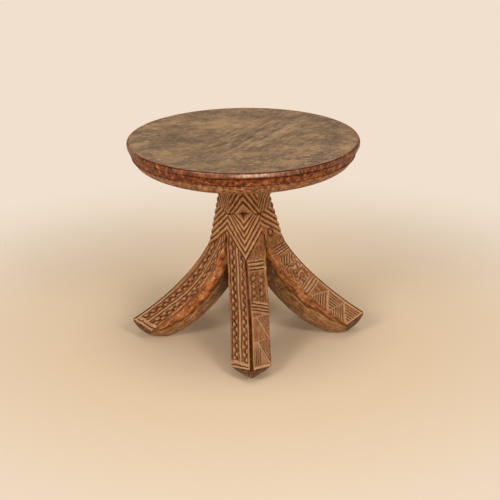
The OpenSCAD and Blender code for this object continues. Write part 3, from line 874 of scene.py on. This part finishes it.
def leg(corner, seed):
    """One carved leg, as a rolled-up grid. Its columns run from the keel up over the ridge and
    down to the keel again, and its rows from a pole in the crotch down to the toe and over it."""
    rougher = corner in ("left", "rear")
    bpy.ops.object.select_all(action="DESELECT")
    bpy.ops.mesh.primitive_grid_add(x_subdivisions=leg_cols, y_subdivisions=all_rows, size=1)
    piece = bpy.context.object
    piece.name = "carved_leg_" + corner
    sheet = spots_of(piece) + 0.5
    col = np.round(sheet[:, 0] * leg_cols).astype(int)
    row = np.round(sheet[:, 1] * all_rows).astype(int)
    cols, rows = np.meshgrid(np.arange(leg_cols + 1), np.arange(leg_rows + 1))
    sign = np.where(cols <= leg_cols // 2, 1, -1)
    k = np.minimum(cols, leg_cols - cols)
    w = np.clip(k / belly_cols, 0, 1)
    v = np.clip(1 - (k - belly_cols) / slope_cols, 0, 1)
    t = rows / leg_rows
    skin = leg_skin(t, w, v, sign, corner)
    s = s_of(t)

    # Which way each cut goes in: level at the root, and square to the surface further down
    down = np.gradient(skin, axis=0)
    over = np.gradient(skin, axis=1)
    normal = np.cross(over, down)
    normal /= np.maximum(np.linalg.norm(normal, axis=-1), 1e-9)[..., None]
    middle = normal[leg_rows // 2, belly_cols + slope_cols // 2]
    normal *= np.sign(middle[2])
    flat_out = skin * [1, 1, 0] / np.maximum(np.hypot(skin[..., 0], skin[..., 1]), 1e-6)[..., None]
    normal = mix(flat_out, normal, unit(s / 10)[..., None])

    # The slopes: each cut wavers a little, as a hand carves it, and the groove's lips are pale.
    on_slope = w >= 1
    places = skin.reshape(-1, 3)
    rough = waver(places, 8, seed).reshape(k.shape)
    broad = waver(places, 26, seed + 1).reshape(k.shape)
    fleck = waver(places, 2.7, seed + 3).reshape(k.shape)
    by_hand = rough * unit(s / 8)
    d0, k0, p0, inside = carved_ribs(skin[..., 2] + 0.8 * by_hand, v, corner)
    loose = 1.7 if rougher else 1
    d1, k1, p1 = bands(v + 0.014 * loose * by_hand, s + 1.5 * loose * by_hand, corner)
    d2, k2, p2 = panels(v + 0.012 * by_hand, s + 0.9 * by_hand, t, corner, rough, fleck)
    banded = sign == band_sides[corner]
    depth = mix(np.where(banded, d1, d2), d0, inside) * (1 + 0.5 * rough)
    dark = mix(np.where(banded, k1, k2), k0, inside) * (1 + 0.6 * fleck)
    pale = mix(np.where(banded, p1, p2), p0, inside) * (1 + fleck)
    lip = np.interp(s, (0, 20, 100, 169), (0.065, 0.075, 0.09, 0.1)) + 0.012 * rough
    keep = np.maximum(unit((v - lip + 0.03) / 0.03), inside)
    depth, pale = depth * keep, pale * keep
    hollow = (1 - inside) * unit((lip - v) / 0.03)
    dark = np.maximum(dark * keep, hollow * np.interp(s, (10, 20, 32, 42, 85, 98), (0, 1, 1, 0.6, 0.6, 1)))
    ridge_rim = (1 - inside) * furrow(v - lip - 0.04, 0.035) * np.interp(s, (20, 85, 100), (0.4, 0.6, 1))
    dark = dark * (1 - ridge_rim)
    pale = np.maximum(pale, ridge_rim)
    depth = depth * (1 - ridge_rim) + 0.5 * unit((v - 0.965) / 0.035)

    # The flanks: orange under the side edge, down to a crease where the belly begins.
    steps = np.linalg.norm(np.diff(skin, axis=1), axis=-1)
    run = np.concatenate([np.zeros((leg_rows + 1, 1)), np.cumsum(steps, axis=1)], axis=1)
    below = np.where(sign > 0, run[:, belly_cols][:, None] - run,
                     run - run[:, leg_cols - belly_cols][:, None])
    crease = np.interp(s, crease_spots, creases[corner]) + 2.2 * broad + 1.2 * rough
    crease_cut = furrow(below - crease, 2.3) * unit((s - 14) / 10)
    lumpy = waver(places * [0.4, 1, 1], 5, seed + 2).reshape(k.shape)
    belly_depth = 0.5 * unit(1 - below / 1.4) + 0.9 * crease_cut + 0.9 * (lumpy + 0.4) * unit(below / 3)
    belly_depth = belly_depth * unit(w / 0.05)
    depth = np.where(on_slope, depth + 0.35 * (rough + 0.5) * unit((v - 0.1) / 0.1), belly_depth)
    dark = np.where(on_slope, dark, crease_cut * (0.8 + 0.3 * rough))
    pale = np.where(on_slope, pale * (0.9 + 0.4 * broad), 0.35 * furrow(below - 0.5, 0.8))
    on_flank = np.where(on_slope, unit((v - 0.94) / 0.02), unit((crease - below) / 1.5))
    # A painted grey sheen just under the rougher legs' side edges, and painted shade in the corner
    # between two legs, on the belly near the root and, on the right leg, just above the crease
    sheen = unit((below - 0.4) / 0.8) * unit((4.5 + 2 * rough - below) / 1.5) * unit((s - 30) / 15)
    gap = skin[..., 0] - np.abs(skin[..., 1])
    painted_shade = np.maximum(
        0.7 * unit(1 - gap / 7) * unit((60 - s) / 30),
        (0.7 if rougher else 0.25) * unit((85 - s) / 50) * unit((below - crease) / 4))
    if corner == "right":
        painted_shade = np.maximum(painted_shade, 0.25 * unit(below) * unit((crease - below) / 1.5))
    skin = skin - normal * np.maximum(depth, 0)[..., None]
    skin[..., 2] = np.maximum(skin[..., 2], 0)

    # The toe: rows that close in from the last one to a line up the middle of the cut end.
    # toe_up runs 0 to 1 along that line, from the keel to the groove.
    rim = skin[-1]
    toe_up = np.where(k[0] < belly_cols, k[0] / belly_cols * 2 / 3,
                      2 / 3 + (k[0] - belly_cols) / slope_cols / 3)
    keel_end, groove_end = rim[0], rim[leg_cols // 2]
    low, high = [(mix(keel_end[0], groove_end[0], out_by), mix(keel_end[2], groove_end[2], up_by))
                 for out_by, up_by in toe_handles]
    stem = np.stack([bezier(keel_end[0], low[0], high[0], groove_end[0], toe_up), 0 * toe_up,
                     bezier(keel_end[2], low[1], high[1], groove_end[2], toe_up)], -1)
    inward = np.arange(1, toe_rows + 1)[:, None] / toe_rows
    bulge = 4 * inward * (1 - inward) * np.minimum(1, 4 * np.minimum(toe_up, 1 - toe_up))
    toe = mix(rim, stem, inward[..., None]) + bulge[..., None] * [1, 0, 0]
    cap = np.tile([0, 0, crotch_z], (1, leg_cols + 1, 1))
    whole = np.concatenate([cap, skin, toe], axis=0)
    move_to(piece, leaning(whole[row, col], bearings[corner]) * mm)

    def tell(name, values, on_toe=0.0):
        """Paints the values on the leg's rows and on_toe on the toe's."""
        full = np.zeros((all_rows + 1, leg_cols + 1))
        full[1:2 + leg_rows] = np.clip(values, 0, 1)
        full[2 + leg_rows:] = on_toe
        paint(piece, name, full[row, col])

    tell("cut", dark)
    tell("worn", pale, 0.4 * unit((inward - 0.86) / 0.1))
    tell("belly", np.where(on_slope, 0, unit((below - crease) / 1.5)))
    tell("flank", on_flank)
    tell("painted_sheen", np.where(on_slope, 0, sheen) * rougher)
    tell("low", unit((s - 40) / 80) if rougher else 0.25 + 0.5 * unit((s - 20) / 120))
    # Painted shade also darkens the toe's cut end towards the groove, most on the front toe.
    toe_shade = 0.7 if corner == "front" else 0.3
    tell("painted_shade", painted_shade, toe_shade * unit((toe_up - 0.62) / 0.15) * unit(1 - inward / 0.6))
    tell("toe", 0 * s, 1)
    across = np.concatenate([0 * rim[None, :, 1], whole[1:, :, 1]])
    under = np.where(on_slope, -slope_w * (1 - v), below)
    under = np.concatenate([under[:1], under, np.repeat(under[-1:], toe_rows, 0)])
    distance = np.concatenate([s[:1] - 1, s, np.repeat(s[-1:], toe_rows, 0) + toe_long * inward])
    lay_grain(piece, distance[row, col], across[row, col], under[row, col])
    close_up(piece)
    piece.data.materials.append(leg_finish)
    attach(piece, "root")
    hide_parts("leg_" + corner)


leg_finish = carved_wood("leg_wood", (98, 55, 25), (146, 97, 56), (182, 131, 82))
for seed, corner in enumerate(("front", "right", "rear", "left")):
    leg(corner, 20 + 4 * seed)
